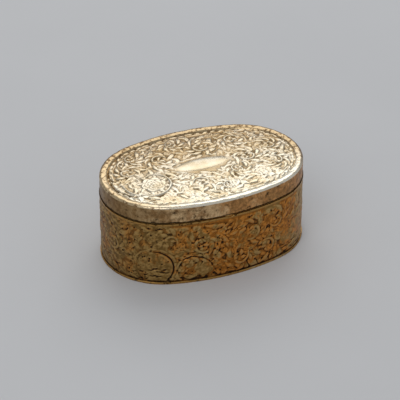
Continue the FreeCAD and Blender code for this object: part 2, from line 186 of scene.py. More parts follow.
# %% Leaf, petal, bead and strip
def leaf_punch(length, width, bend, turn, height, lobes, vein):
    c, s = math.cos(turn), math.sin(turn)
    arc = length / (bend if abs(bend) > 1e-3 else 1e-3)
    hand = math.copysign(1, arc)

    def punch(dx, dy):
        along, side = c * dx + s * dy, c * dy - s * dx
        t = np.arctan2(along * hand, (arc - side) * hand) * arc / length
        v = (abs(arc) - np.hypot(along, arc - side)) * hand
        inside = np.clip(t, 0, 1)
        lobed = 1 - 0.28 * np.abs(np.sin(math.pi * lobes * inside)) ** 0.5
        half = 0.5 * width * np.sin(math.pi * inside**0.7) ** 0.8 * lobed + 1e-4
        edge = np.maximum(np.abs(v) - half, (np.abs(t - 0.5) - 0.5) * length)
        across = np.clip(np.abs(v) / half, 0, 1)
        swell = (1 - across**2.2) ** 0.6 * (0.6 + 0.4 * np.sin(math.pi * inside))
        barbs = 0.05 * across * np.cos(2 * math.pi * (1.5 * lobes * inside - 0.9 * across))
        groove = vein * np.exp(-((v / (0.09 * width)) ** 2)) * (inside < 0.85)
        return edge, height * (0.25 + 0.75 * swell) - groove + barbs

    return punch


def petal_punch(radius, facing, height, base):
    c, s = math.cos(facing), math.sin(facing)

    def punch(dx, dy):
        along, side = c * dx + s * dy, c * dy - s * dx
        r = np.hypot(along, side)
        edge = r - radius * (1 + 0.06 * np.cos(5 * np.arctan2(side, along)))
        cup = 0.35 + 0.65 * np.clip(r / radius, 0, 1) ** 2
        rim = np.clip((radius - r) / (0.22 * radius), 0, 1) ** 0.5
        return edge, base + height * cup * rim

    return punch


def bead_punch(radius, height):
    def punch(dx, dy):
        r = np.hypot(dx, dy)
        return r - radius, 0.05 + height * np.sqrt(np.clip(1 - (r / radius) ** 2, 0, 1))

    return punch


def strip_punch(points, width, height, taper=0.35):
    def punch(dx, dy):
        nearest = np.full(np.broadcast(dx, dy).shape, 1e9)
        part = np.zeros_like(nearest)
        for k, (px, py) in enumerate(points):
            distance = np.hypot(dx - px, dy - py)
            closer = distance < nearest
            nearest = np.where(closer, distance, nearest)
            part = np.where(closer, k / (len(points) - 1), part)
        half = 0.5 * width * np.sin(math.pi * (0.06 + 0.88 * part)) ** taper
        swell = np.sqrt(np.clip(1 - (nearest / half) ** 2, 0, 1))
        return nearest - half, height * (0.25 + 0.75 * swell)

    return punch


def smooth_line(points, step=0.35):
    """points close together on a smooth line through a few given ones"""
    points = np.asarray(points, float)
    before, after = 2 * points[0] - points[1], 2 * points[-1] - points[-2]
    p = np.vstack([before, points, after])
    runs = []
    for a, b, c, d in zip(p, p[1:], p[2:], p[3:]):
        t = np.linspace(0, 1, max(3, int(np.hypot(*(c - b)) / step)), endpoint=False)[:, None]
        square, cube = 2 * a - 5 * b + 4 * c - d, 3 * b - a - 3 * c + d
        runs.append(0.5 * (2 * b + (c - a) * t + square * t**2 + cube * t**3))
    return np.vstack([*runs, points[-1:]])


# %% [markdown]
# ## Motifs
# The pattern is the common one of such boxes: leaf sprays, rolled scrolls with leaves along them,
# small rosettes and one large rose. A motif is a handful of blows with the punches above, so the
# worker below owns a sheet and a seeded hand that varies each blow a little.

# %% Sprays, scrolls and roses
def around(x, y, far, facing):
    """the place at a distance from a point, in a direction"""
    return x + far * math.cos(facing), y + far * math.sin(facing)


class Chaser:
    """a worker who owns a sheet and varies each blow a little"""

    def __init__(self, sheet, seed, strength):
        self.sheet, self.strength = sheet, strength
        self.hand = np.random.default_rng(seed)

    def about(self, low, high):
        return self.hand.uniform(low, high)

    def strip(self, points, width, height):
        """the middle of a ribbon, how far it reaches from there, and its punch"""
        points = np.asarray(points, float)
        middle = 0.5 * (points.min(0) + points.max(0))
        reach = 0.5 * np.ptp(points, axis=0).max() + width + 0.6
        return *middle, reach, strip_punch(points - middle, width, height)

    def line(self, points, width, height):
        self.sheet.press(*self.strip(points, width, height * self.strength))

    def groove(self, points, width, depth):
        self.sheet.cut(*self.strip(points, width, 1.0), depth)

    def tick(self, x, y, lean, half, width, depth):
        """a short cut, bowed a little"""
        dx, dy = half * math.cos(lean), half * math.sin(lean)
        self.groove([(x - dx, y - dy), (x, y + 0.1), (x + dx, y + dy)], width, depth)

    def leaf(self, x, y, turn, length, width, bend, height, lobes=3):
        punch = leaf_punch(length, width, bend, turn, height * self.strength, lobes, 0.12 * self.strength)
        self.sheet.press(x, y, length + 1.0, punch)

    def spray(self, x, y, turn, length, bend, pairs, height):
        """leaflets along a bent midrib, the tip first so that lower ones overlap it"""
        for step in range(pairs, 0, -1):
            t = step / (pairs + 1)
            heading, chord = turn + bend * t, turn + 0.5 * bend * t
            px, py = around(x, y, length * t, chord)
            size = length * (0.62 - 0.34 * t)
            for side in (-1, 1):
                lean = heading + side * (0.95 - 0.45 * t) + self.about(-0.1, 0.1)
                long, high = size * self.about(0.85, 1.1), height * self.about(0.85, 1.05)
                self.leaf(px, py, lean, long, 0.42 * size, 0.3 * bend - 0.7 * side, high, 2)
            if step == pairs:
                self.leaf(px, py, heading, 1.1 * size, 0.55 * size, 0.5 * bend, height)
        t = np.linspace(0, 1, 16)
        chord = turn + 0.5 * bend * t
        midrib = np.column_stack([x + length * t * np.cos(chord), y + length * t * np.sin(chord)])
        self.line(midrib, 0.55, 1.05 * height)

    def scroll(self, x, y, radius, start, hand, height, turns=0.75, leaves=7):
        """a stem that rolls up round a small flower, with leaves thrown off outside"""
        start = math.radians(start)
        for k in range(leaves):
            a = start + hand * (0.3 + 5.4 * k / leaves)
            lean = a + hand * self.about(0.6, 0.9)
            long, wide = self.about(4.8, 6.6), self.about(2.3, 3.0)
            bend, high = hand * self.about(0.9, 1.7), height * self.about(0.75, 0.95)
            self.leaf(*around(x, y, 0.9 * radius, a), lean, long, wide, bend, high, 2)
        t = np.linspace(0, 1, 70)
        r, a = radius * (1 - 0.62 * t), start + hand * 2 * math.pi * turns * t
        self.line(np.column_stack([x + r * np.cos(a), y + r * np.sin(a)]), 0.34 * radius, height)
        for k in range(3):
            lean = start + hand * (2.4 * k + 1.0)
            px, py = around(x, y, 0.1 * radius, lean)
            self.leaf(px, py, lean, 0.75 * radius, 0.5 * radius, -hand * 1.2, 0.85 * height, 2)

    def rosette(self, x, y, radius, height, petals=5):
        spin = self.about(0, 6)
        for k in range(petals):
            a = spin + 2 * math.pi * k / petals
            punch = petal_punch(0.5 * radius, a, 0.5 * height * self.strength, 0.4 * height * self.strength)
            self.sheet.press(*around(x, y, 0.55 * radius, a), radius, punch, lip=0.2)
        self.sheet.press(x, y, radius, bead_punch(0.3 * radius, height * self.strength), lip=0.2)

    def rose(self, x, y, radius, height):
        for k in range(8):
            a = 2 * math.pi * k / 8 + 0.2
            px, py = around(x, y, 0.75 * radius, a)
            self.leaf(px, py, a + 0.3, 0.8 * radius, 0.45 * radius, 0.5, 0.7 * height, 4)
        rounds = [(6, 0.58, 0.46, 0.0), (5, 0.38, 0.38, 0.5), (4, 0.2, 0.28, 1.1), (1, 0.0, 0.16, 0.0)]
        for count, far, size, spin in rounds:
            for k in range(count):
                a = 2 * math.pi * k / count + spin
                base = height * (0.75 - 0.6 * far) * self.strength
                punch = petal_punch(size * radius, a, 0.5 * height * self.strength, base)
                self.sheet.press(*around(x, y, far * radius, a), radius, punch, lip=0.22)

    def field(self, box, spacing, flow, length, width, height, keep=None):
        """small leaves on a shaken grid, to fill the ground between the motifs"""
        left, low, right, high = box
        for row, y in enumerate(np.arange(low, high, 0.87 * spacing)):
            for x in np.arange(left + 0.5 * spacing * (row % 2), right, spacing):
                px, py = x + self.about(-0.35, 0.35) * spacing, y + self.about(-0.35, 0.35) * spacing
                if keep is None or keep(px, py):
                    turn = flow(px, py) + self.hand.normal(0, 0.4)
                    long, wide = length * self.about(0.75, 1.25), width * self.about(0.8, 1.2)
                    bend, tall = self.hand.normal(0, 1.3), height * self.about(0.8, 1.2)
                    self.leaf(px, py, turn, long, wide, bend, tall, int(self.hand.integers(1, 4)))


def swirl(scrolls):
    """the direction in which leaves lie: round the scrolls, each the way it is rolled"""
    x0, y0 = np.array([s[0] for s in scrolls]), np.array([s[1] for s in scrolls])
    way = np.array([s[-1] for s in scrolls])

    def flow(x, y):
        dx, dy = x - x0, y - y0
        weight = way / (dx**2 + dy**2 + 8.0)
        return math.atan2((dx * weight).sum(), -(dy * weight).sum())

    return flow


# %% [markdown]
# ## The chased lid
# In the photograph a rose lies in a large scroll at the left front, smaller scrolls and leaf sprays
# fill the rest, and a plain oval cartouche stands in the middle. Slanted marks along the back edge
# are read as an uneven chain of buds, which here runs all round, between the border and a thin wire
# line. Places are in millimetres from the middle of the lid. What is low comes first, so that later
# blows lie on top.

# %% Lid: motifs by place
LID_SCROLLS = [  # x, y, radius, start in degrees, hand
    (21.7, -1.2, 4.2, 200, 1), (32.2, -9.5, 3.7, 120, -1), (13.6, -10.1, 3.8, 80, 1),
    (-5.5, -14.2, 4.2, 160, -1), (-17.0, 9.5, 4.2, 20, 1), (-33.5, 6.0, 3.8, 300, -1),
    (4.0, 13.5, 4.2, 330, -1), (20.0, 14.0, 4.0, 30, 1), (34.5, 4.0, 3.6, 180, 1),
    (-6.5, 20.0, 3.2, 120, 1), (4.5, -20.8, 3.2, 60, 1), (-28.0, 15.6, 3.2, 90, 1),
]
LID_SPRAYS = [  # x, y, turn in degrees, length, bend, pairs of leaflets
    (14.5, -14.5, -20, 12.5, 0.7, 4), (20.0, -13.0, -62, 9.0, 0.6, 3), (26.5, -1.0, 5, 10.5, 0.5, 3),
    (26.0, 8.0, 40, 10.0, -0.6, 3), (12.0, 9.0, 60, 10.0, -0.7, 3), (-3.0, 9.5, 120, 10.0, 0.6, 3),
    (-13.0, 4.0, 150, 9.5, 0.5, 3), (-13.0, -11.0, 240, 9.0, 0.6, 3),
    (0.0, -8.0, 265, 9.0, -0.5, 3), (8.0, -15.0, 250, 9.0, 0.6, 3), (-24.0, 7.0, 130, 9.5, 0.7, 3),
    (-33.0, -1.5, 165, 7.0, 0.6, 2), (33.5, -3.5, 10, 7.5, -0.5, 2), (-20.0, 16.0, 100, 7.5, 0.8, 2),
    (12.5, 18.0, 95, 7.0, -0.8, 2), (28.0, 13.5, 60, 7.5, -0.9, 2), (27.0, -14.0, -30, 7.0, -0.7, 2),
    (-3.0, -18.0, 285, 6.0, 0.7, 2), (-14.0, -16.5, 290, 6.5, 0.5, 2),
]
LID_ROSETTES = [  # x, y, radius
    (-25.5, -19.4, 2.0), (-21.0, -18.0, 1.7), (-9.5, -7.5, 1.7), (9.0, -6.8, 1.6),
    (17.5, 4.5, 1.7), (-11.0, 14.0, 1.8), (12.0, 21.5, 1.7), (27.5, 2.5, 1.5),
    (37.0, -3.0, 1.6), (-37.5, 1.0, 1.6), (-1.0, 17.5, 1.7), (29.0, -16.0, 1.6),
]
ROSE, ROSE_RADIUS = (-26.3, -8.0), 5.6
ROSE_STEM = [
    (-39.2, -3.0), (-38.2, -8.5), (-34.5, -13.6), (-28.5, -16.0), (-22.3, -14.4),
    (-18.6, -9.2), (-19.4, -3.6), (-23.6, -0.4), (-28.2, -1.4),
]
CHAIN_INSET, WIRE_INSET, BUDS = 4.3, 5.75, 66
CARTOUCHE, CLEARING, GROUND_INSET = (12.5, 4.8), (13.4, 5.8), 6.6
LID_FIELD = (-43, -27, 43, 27)

lid = Sheet(left=-47.5, low=-31.5, width=95.0, height=63.0, cell=0.1)
chaser = Chaser(lid, seed=7, strength=1.0)
lid_x, lid_y = lid.places()
lid_inset = inset(lid_x, lid_y)


def lid_ground(x, y):
    """inside the wire line and outside the cartouche"""
    return inset(x, y) > GROUND_INSET and (x / CLEARING[0]) ** 2 + (y / CLEARING[1]) ** 2 > 1


lid_flow = swirl(LID_SCROLLS)
chaser.field(LID_FIELD, 3.0, lid_flow, length=5.2, width=2.6, height=0.4, keep=lid_ground)
chaser.field(LID_FIELD, 4.8, lid_flow, length=7.2, width=3.2, height=0.58, keep=lid_ground)
for x, y, turn, length, bend, pairs in LID_SPRAYS:
    chaser.spray(x, y, math.radians(turn), length, bend, pairs, height=0.66)
for rosette in LID_ROSETTES:
    chaser.rosette(*rosette, height=0.62)
for scroll in LID_SCROLLS:
    chaser.scroll(*scroll, height=0.8)
chaser.rose(*ROSE, ROSE_RADIUS, height=0.95)
chaser.line(smooth_line(ROSE_STEM), width=1.3, height=0.85)
print(f"lid: {len(LID_SCROLLS)} scrolls, {len(LID_SPRAYS)} sprays, {len(LID_ROSETTES)} rosettes, a rose")

# %% Lid: bud chain, wire line and cartouche
along = np.arange(BUDS) * GIRTH / BUDS + 1.0
for x, y, out_x, out_y in zip(*station(along, -CHAIN_INSET)):
    lean, bend = math.atan2(out_x, -out_y) + chaser.about(-0.08, 0.4), chaser.about(-0.3, 0.5)
    long, wide = chaser.about(2.9, 4.5), chaser.about(1.4, 2.2)
    chaser.leaf(x, y, lean, long, wide, bend, chaser.about(0.36, 0.64), 1)
wire = np.sqrt(np.clip(1 - ((lid_inset - WIRE_INSET) / 0.3) ** 2, 0, 1))
beside = np.clip(1 - np.abs(lid_inset - WIRE_INSET) / 0.7, 0, 1)
lid.z = np.where(wire > 0, 0.12 + 0.2 * wire, lid.z * (1 - 0.4 * beside))
LID_CUTS = [  # three deep lines at the left end
    [(-39.0, 16.5), (-41.0, 10.5), (-42.0, 4.5), (-40.5, 1.5)],
    [(-42.5, 5.0), (-43.0, -1.5), (-42.0, -6.0), (-40.0, -9.5)],
    [(-40.0, -9.5), (-37.5, -12.5), (-34.0, -13.5), (-30.5, -14.5)],
]
for line in LID_CUTS:
    chaser.groove(smooth_line(line), width=1.0, depth=0.5)

reach = np.hypot(lid_x / CARTOUCHE[0], lid_y / CARTOUCHE[1])
plateau = 0.05 + 0.7 * np.clip(1 - reach**3.6, 0, 1) ** 0.9
moat = np.exp(-(((reach - 1.07) / 0.05) ** 2))
lid.z = np.where(reach < 1, plateau, lid.z * (1 - 0.85 * moat))
lid_relief = lid.softened(0.17)
lid_hollow = np.clip((lid.softened(0.9) - lid_relief) / 0.4, -1, 1)
print(f"lid relief {lid_relief.min():.2f} to {lid_relief.max():.2f} mm")

# %% [markdown]
# ## The lid sheet as a mesh
# The relief has to be real geometry, because it is seen against the light. A square grid squeezed
# into the oval keeps its cells even, which spokes and rings would not: they crowd in the middle.
# The sheet swells like a cushion, as in the CAD model. Its underside, seen when the lid is open, is
# the soft back of the same relief on a grid of half the fineness, joined to the top along the edge.

# %% Squeeze a grid into the oval
def oval_reach(direction_x, direction_y, offset):
    """from the middle to the oval in a direction"""
    c, s = np.abs(direction_x), np.abs(direction_y)
    end_radius, side_radius = END_RADIUS + offset, SIDE_RADIUS + offset
    end = END_CENTRE * c + np.sqrt(np.maximum(end_radius**2 - (END_CENTRE * s) ** 2, 0))
    within = side_radius**2 - (SIDE_CENTRE * c) ** 2 * (SIDE_CENTRE * c < side_radius)
    side = -SIDE_CENTRE * s + np.sqrt(within)
    by_end = end * s * END_CENTRE < (end * c - END_CENTRE) * SIDE_CENTRE
    return np.where(by_end, end, side)


def oval_grid(columns, rows, offset):
    u, v = np.meshgrid(np.linspace(-1, 1, columns + 1), np.linspace(-1, 1, rows + 1))
    x = (HALF_LENGTH + offset) * u * np.sqrt(1 - 0.5 * v**2)
    y = (HALF_WIDTH + offset) * v * np.sqrt(1 - 0.5 * u**2)
    round_part = np.hypot(x / (HALF_LENGTH + offset), y / (HALF_WIDTH + offset))
    far = np.maximum(np.hypot(x, y), 1e-9)
    stretch = oval_reach(x / far, y / far, offset) * round_part / far
    stretch = 1 + (stretch - 1) * round_part**2
    return x * stretch, y * stretch


def grid_faces(columns, rows, first=0):
    corner = first + np.arange(rows)[:, None] * (columns + 1) + np.arange(columns)[None, :]
    return np.stack([corner, corner + 1, corner + columns + 2, corner + columns + 1], -1).reshape(-1, 4)


def grid_edge(columns, rows, first=0):
    """the outer points of a grid, once round"""
    width = columns + 1
    bottom, right = np.arange(columns), np.arange(rows) * width + columns
    top, left = rows * width + np.arange(columns, 0, -1), np.arange(rows, 0, -1) * width
    return first + np.concatenate([bottom, right, top, left])


# %% A piece from points and faces
def add_piece(name, points, faces, body, node, crease, marks=None):
    """points in millimetres; marks are values per point that a finish can read"""
    mesh = bpy.data.meshes.new(name)
    mesh.from_pydata((np.asarray(points) * MM).tolist(), [], faces)
    mesh.shade_smooth()
    mesh.set_sharp_from_angle(angle=math.radians(crease))
    for mark, values in (marks or {}).items():
        attribute = mesh.attributes.new(mark, "FLOAT", "POINT")
        attribute.data.foreach_set("value", np.asarray(values, np.float32).ravel())
    piece = bpy.data.objects.new(name, mesh)
    bpy.context.collection.objects.link(piece)
    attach(piece, body)
    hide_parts(node)
    mesh.calc_loop_triangles()
    print(f"{name}: {len(mesh.loop_triangles)} triangles")
    return piece


# %% Lid sheet
PANEL_OFFSET, PANEL_THICK = -0.62, 0.7
MARGIN_TOP, CUSHION_RISE, CUSHION_FROM, CUSHION_TO = 39.3, 1.1, 3.2, 18.7
COLUMNS, ROWS = 320, 208


def cushion(x, y):
    climb = np.clip((inset(x, y) - CUSHION_FROM) / (CUSHION_TO - CUSHION_FROM), 0, 1)
    return MARGIN_TOP + CUSHION_RISE * (1 - (1 - climb) ** 2)


top_x, top_y = oval_grid(COLUMNS, ROWS, PANEL_OFFSET)
shown = np.clip((inset(top_x, top_y) - CUSHION_FROM) / 0.4, 0, 1)
top_z = cushion(top_x, top_y) + shown * lid.read(lid_relief, top_x, top_y)
back_x, back_y = top_x[::2, ::2], top_y[::2, ::2]
back_shown = np.clip((inset(back_x, back_y) - CUSHION_FROM - 0.5) / 0.8, 0, 1)
back_relief = 0.7 * back_shown * lid.read(lid.softened(0.35), back_x, back_y)
back_z = cushion(back_x, back_y) - PANEL_THICK + back_relief

top = np.stack([top_x, top_y, top_z], -1).reshape(-1, 3)
back = np.stack([back_x, back_y, back_z], -1).reshape(-1, 3)
fine, coarse = grid_edge(COLUMNS, ROWS), grid_edge(COLUMNS // 2, ROWS // 2, len(top))
rim = [
    [fine[2 * k], coarse[k], coarse[(k + 1) % len(coarse)], fine[(2 * k + 2) % len(fine)], fine[2 * k + 1]]
    for k in range(len(coarse))
]
front_faces = grid_faces(COLUMNS, ROWS).tolist()
back_faces = grid_faces(COLUMNS // 2, ROWS // 2, len(top))[:, ::-1].tolist()
faces = front_faces + back_faces + [[int(i) for i in face] for face in rim]
top_hollow = shown * lid.read(lid_hollow, top_x, top_y)
marks = {
    "hollow": np.concatenate([top_hollow.ravel(), np.zeros(len(back))]),
    "inside": np.repeat([0.0, 1.0], [len(top), len(back)]),
}
points = np.vstack([top, back])
lid_sheet = add_piece("chased_lid_sheet", points, faces, "lid", "lid_panel", 75, marks)

# %% [markdown]
# ## The chased wall
# The wall carries the same leaves and scrolls, larger and lower, and more worn. Four large plain
# shells stand on the foot, two of them in front, with lines cut into them. The outline of the first
# shell, the lobe beside it and a few short cuts follow the photograph. The sheet of heights is
# unrolled along the oval, so that it meets itself at the back.

# %% Wall: motifs by place
WALL_LOW, WALL_HIGH, CHASED_TO = 1.1, 32.0, 29.9
WALL_CELLS, WALL_ROSETTES = 2536, 26
SHELLS = [FRONT - 33.8, FRONT + 35.0, 34.0, GIRTH - 34.0]
WALL_SCROLLS = []  # as on the lid, along and up the wall
for middle in (FRONT, GIRTH):
    WALL_SCROLLS += [
        (middle - 12.5, 19.5, 4.6, 300, -1), (middle + 11.5, 20.5, 4.4, 240, 1),
        (middle - 20.5, 8.2, 4.2, 60, 1), (middle + 5.0, 9.0, 4.6, 20, -1),
        (middle + 19.5, 9.5, 4.4, 120, -1), (middle + 24.5, 22.0, 3.8, 200, 1),
        (middle - 27.0, 22.5, 3.6, 330, 1), (middle - 1.0, 24.5, 3.0, 90, 1),
    ]
for middle in (GIRTH / 4, 3 * GIRTH / 4):
    WALL_SCROLLS += [
        (middle - 9.0, 17.5, 4.0, 280, -1), (middle + 8.5, 17.0, 4.0, 250, 1),
        (middle - 0.5, 8.5, 4.2, 30, 1), (middle + 1.0, 25.5, 2.8, 160, -1),
    ]

wall = Sheet(0.0, WALL_LOW, GIRTH, WALL_HIGH - WALL_LOW, GIRTH / WALL_CELLS, wrap=True)
chaser = Chaser(wall, seed=11, strength=0.85)
wall_along, wall_up = wall.places()
wall_field, wall_flow = (0, 2.5, GIRTH, 30), swirl(WALL_SCROLLS)

chaser.field(wall_field, 3.6, wall_flow, length=6.0, width=2.8, height=0.4)
chaser.field(wall_field, 5.6, wall_flow, length=8.0, width=3.6, height=0.52)
for x, y, radius, start, hand in WALL_SCROLLS:
    for k in range(3):
        lean = math.radians(start) + hand * (1.2 + 1.7 * k)
        px, py = around(x, y, 1.1 * radius, lean)
        long, bend = chaser.about(6.5, 9.0), 0.7 * hand
        chaser.spray(px, py, lean + bend, long, bend, pairs=4, height=0.62)
for scroll in WALL_SCROLLS:
    chaser.scroll(*scroll, height=0.72, turns=0.7, leaves=5)
for k in range(WALL_ROSETTES):
    x, y = (k + chaser.about(0.2, 0.8)) * GIRTH / WALL_ROSETTES, chaser.about(12, 28)
    chaser.rosette(x, y, chaser.about(1.5, 2.1), height=0.6)
print(f"wall: {len(WALL_SCROLLS)} scrolls, {WALL_ROSETTES} rosettes")

# %% Wall: shells, cut lines and wear
SHELL_UP, SHELL_RADIUS = 8.6, 8.4
SHELL_CUTS, FRONT_CUTS, SMALL_CUTS, RUBBED_PLACES = 14, 110, 170, 80


def shell_punch(radius, height):
    def punch(dx, dy):
        r = np.hypot(dx, dy)
        return r - radius, height * (0.55 + 0.45 * np.sqrt(np.clip(1 - (r / radius) ** 2, 0, 1)))

    return punch


def arc_points(x, y, radius, start, stop):
    a = np.radians(np.linspace(start, stop, 50))
    return np.column_stack([x + radius * np.cos(a), y + radius * np.sin(a)])


for x in SHELLS:
    chaser.line(arc_points(x, SHELL_UP, SHELL_RADIUS + 1.4, 20, 160), 1.1, 0.5)
    wall.press(x, SHELL_UP, SHELL_RADIUS + 1, shell_punch(SHELL_RADIUS, 0.34), lip=0.45)
    chaser.groove([(x - 2.2, 12.0), (x - 2.3, 13.4), (x - 2.2, 14.9)], 0.8, 0.4)
    for k in range(SHELL_CUTS):
        px, py = x + chaser.about(-7, 7), chaser.about(2.0, 8.5)
        bite, lift = chaser.about(1.0, 2.2), chaser.about(-0.4, 0.4)
        wave = [(px - bite, py + lift), (px, py - 0.3), (px + bite, py + 0.2 - lift)]
        chaser.groove(smooth_line(wave), 0.75, 0.36)
FRONT_LOBE = [(102.0, 4.5), (105.5, 12.0), (111.0, 13.5), (117.0, 10.5), (121.0, 3.5)]
FRONT_TICKS = [  # along, up, lean in degrees, half length, width
    (91.5, 19.5, 90, 1.4, 1.1), (90.5, 12.0, 90, 1.6, 1.1), (71.0, 25.0, 0, 0.6, 1.5),
    (91.5, 25.5, 0, 1.1, 1.1), (77.5, 14.0, 45, 1.1, 1.0), (77.5, 14.0, 135, 1.1, 1.0),
    (90.5, 29.0, 0, 0.7, 1.1), (95.5, 29.0, 0, 0.9, 1.1), (84.0, 22.0, 0, 1.0, 1.0),
    (81.0, 6.0, 0, 1.2, 1.0),
]
chaser.groove(arc_points(SHELLS[0], SHELL_UP, SHELL_RADIUS, -50, 95), 0.9, 0.45)
chaser.groove(smooth_line(FRONT_LOBE), 0.8, 0.45)
for x, y, lean, half, width in FRONT_TICKS:
    chaser.tick(x, y, math.radians(lean), half, width, 0.45)
for k in range(FRONT_CUTS):
    px, py, lean = chaser.about(48, 124), chaser.about(2.5, 30), chaser.about(-0.9, 0.9)
    chaser.groove([(px - 0.9, py - lean), (px, py + 0.3), (px + 0.9, py + lean)], 0.85, 0.42)
for k in range(SMALL_CUTS):
    px, py = chaser.about(0, GIRTH), chaser.about(3, 29)
    lean, bite = chaser.about(0, math.pi), chaser.about(0.5, 1.8)
    chaser.tick(px, py, lean, bite, 0.75, 0.36)

toward_end = 0.5 - 0.5 * np.cos(2 * math.pi * 2 * wall_along / GIRTH)
worn = 1 - 0.4 * toward_end
for k in range(RUBBED_PLACES):
    px, py, size = chaser.about(0, GIRTH), chaser.about(2, 30), chaser.about(2.5, 6.0)
    gap = (wall_along - px + GIRTH / 2) % GIRTH - GIRTH / 2
    worn *= 1 - chaser.about(0.2, 0.6) * np.exp(-((gap / size) ** 2) - ((wall_up - py) / (0.7 * size)) ** 2)
edges = np.clip((wall_up - WALL_LOW - 0.4) / 0.8, 0, 1) * np.clip((CHASED_TO - wall_up) / 0.8, 0, 1)
wall.z = wall.z * worn * edges
wall_relief = wall.softened(0.16)
wall_hollow = np.clip((wall.softened(0.7) - wall_relief) / 0.22, -1, 1)
wall_low = np.clip((wall.softened(2.4) - wall.softened(0.5)) / 0.16, -1, 1)
print(f"wall relief {wall_relief.min():.2f} to {wall_relief.max():.2f} mm")

# %% [markdown]
# ## Rings swept along the oval
# Wall, wires, band and border are all rings: one section carried along the oval. A curve with a
# bevel could do it, but here the section changes from place to place, for the relief, the hinge seat
# at the back and the nail nick in front. So the section is a row of points per station, and the
# stations are simply joined by quads.

# %% Join sections
HINGE_Y, SEAM, SEAT, HINGE_HALF = 30.18, 32.0, 1.40, 13.05
NICK_RADIUS, NICK_DROP, NICK_DEEP, NICK_HALF = 3.26, 0.95, 0.55, 2.3


def stations(count, extra=()):
    """even distances along the oval, and a few exact ones"""
    return np.unique(np.concatenate([np.arange(count) * GIRTH / count, np.asarray(extra, float) % GIRTH]))


def ring_points(along, sections):
    """sections holds an offset and a height for each point of each station"""
    x, y, out_x, out_y = (v[:, None] for v in station(along))
    offset, height = sections[..., 0], sections[..., 1]
    return np.stack([x + out_x * offset, y + out_y * offset, height], -1).reshape(-1, 3)


def ring_faces(count, size, closed):
    k = np.arange(count if closed else count - 1)[:, None]
    r = np.arange(size)[None, :]
    ahead, up = (k + 1) % count, (r + 1) % size
    corners = [k * size + r, ahead * size + r, ahead * size + up, k * size + up]
    return np.stack(corners, -1).reshape(-1, 4).tolist()


def add_ring(name, along, section, body, node, crease, marks=None, closed=True):
    """a piece swept along the oval; an open one gets a face at each end"""
    count, size = section.shape[:2]
    faces = ring_faces(count, size, closed)
    if not closed:
        faces += [list(range(size)), list(range((count - 1) * size, count * size))[::-1]]
    return add_piece(name, ring_points(along, section), faces, body, node, crease, marks)


def back_distance(x):
    """how far along the oval a place on the long back side is"""
    return SIDE_RADIUS * math.asin(x / SIDE_RADIUS)


hinge_gate = back_distance(HINGE_HALF)
step_places = [hinge_gate - 0.02, hinge_gate + 0.02, GIRTH - hinge_gate - 0.02, GIRTH - hinge_gate + 0.02]
nick_places = [FRONT + s for s in np.linspace(-NICK_HALF, NICK_HALF, 17)]


def at_hinge(along):
    return (along < hinge_gate) | (along > GIRTH - hinge_gate)


def seat_height(along, offset):
    """how far the hinge seat reaches up or down from the seam"""
    y = station(along, offset)[1]
    return np.where(at_hinge(along), np.sqrt(np.clip(SEAT**2 - (y - HINGE_Y) ** 2, 0, None)), 0.0)


def nick_cut(along):
    x = np.where(np.abs(along - FRONT) < NICK_HALF, along - FRONT, NICK_HALF)
    return np.clip(NICK_DROP - NICK_RADIUS + np.sqrt(NICK_RADIUS**2 - x**2), 0, None)


# %% Wall sheet
WALL_THICK, WALL_ROWS, WALL_STATIONS = 0.9, 98, 830

along = stations(WALL_STATIONS, step_places + nick_places)
outer_top = SEAM - seat_height(along, 0.0) - nick_cut(along)
rise = np.linspace(0, 1, WALL_ROWS)
outer_z = WALL_LOW + (outer_top[:, None] - WALL_LOW) * rise
spot = np.broadcast_to(along[:, None], outer_z.shape)
outer = np.stack([wall.read(wall_relief, spot, outer_z), outer_z], -1)
inner = [
    (np.full_like(along, -NICK_DEEP), SEAM - seat_height(along, -NICK_DEEP) - nick_cut(along)),
    (np.full_like(along, -NICK_DEEP - 0.01), SEAM - seat_height(along, -NICK_DEEP)),
    (np.full_like(along, -WALL_THICK), SEAM - seat_height(along, -WALL_THICK)),
] + [(np.full_like(along, -WALL_THICK), np.full_like(along, z)) for z in (28.0, 19.0, 10.0, WALL_LOW)]
section = np.concatenate([outer, np.stack([np.stack(p, -1) for p in inner], 1)], 1)
no_mark = np.zeros((len(along), len(inner)))
hollow = np.concatenate([wall.read(wall_hollow, spot, outer_z), no_mark], 1)
low = np.concatenate([wall.read(wall_low, spot, outer_z), no_mark], 1)
inside = np.broadcast_to(np.repeat([0.0, 1.0], [WALL_ROWS, len(inner)]), low.shape)
marks = {"hollow": hollow, "low": low, "inside": inside}
wall_sheet = add_ring("chased_wall_sheet", along, section, "box", "body_wall", 75, marks)

# %% [markdown]
# ## Wires, band and border
# A rounded foot wire closes the wall below, a thin rim wire runs under the seam and stops at the
# hinge. The lid's upright band is plain sheet that has taken small knocks, and the border on top of
# it is rolled, so light slides along it. Small knocks are worked into the sections themselves.

# %% Knocks
def knocks(along, height, seed, size, depth, count, low, high):
    """shallow dents at seeded places of a ring"""
    hand = np.random.default_rng(seed)
    dents = np.zeros(np.broadcast(along, height).shape)
    places, levels = hand.uniform(0, GIRTH, count), hand.uniform(low, high, count)
    widths, depths = hand.uniform(0.5, 1.5, count) * size, hand.uniform(0.3, 1, count) * depth
    for place, level, wide, deep in zip(places, levels, widths, depths):
        gap = (along - place + GIRTH / 2) % GIRTH - GIRTH / 2
        dents += deep * np.exp(-((gap / wide) ** 2) - ((height - level) / (0.6 * wide)) ** 2)
    return dents


def same_section(along, points):
    return np.broadcast_to(np.asarray(points, float), (len(along), len(points), 2)).copy()


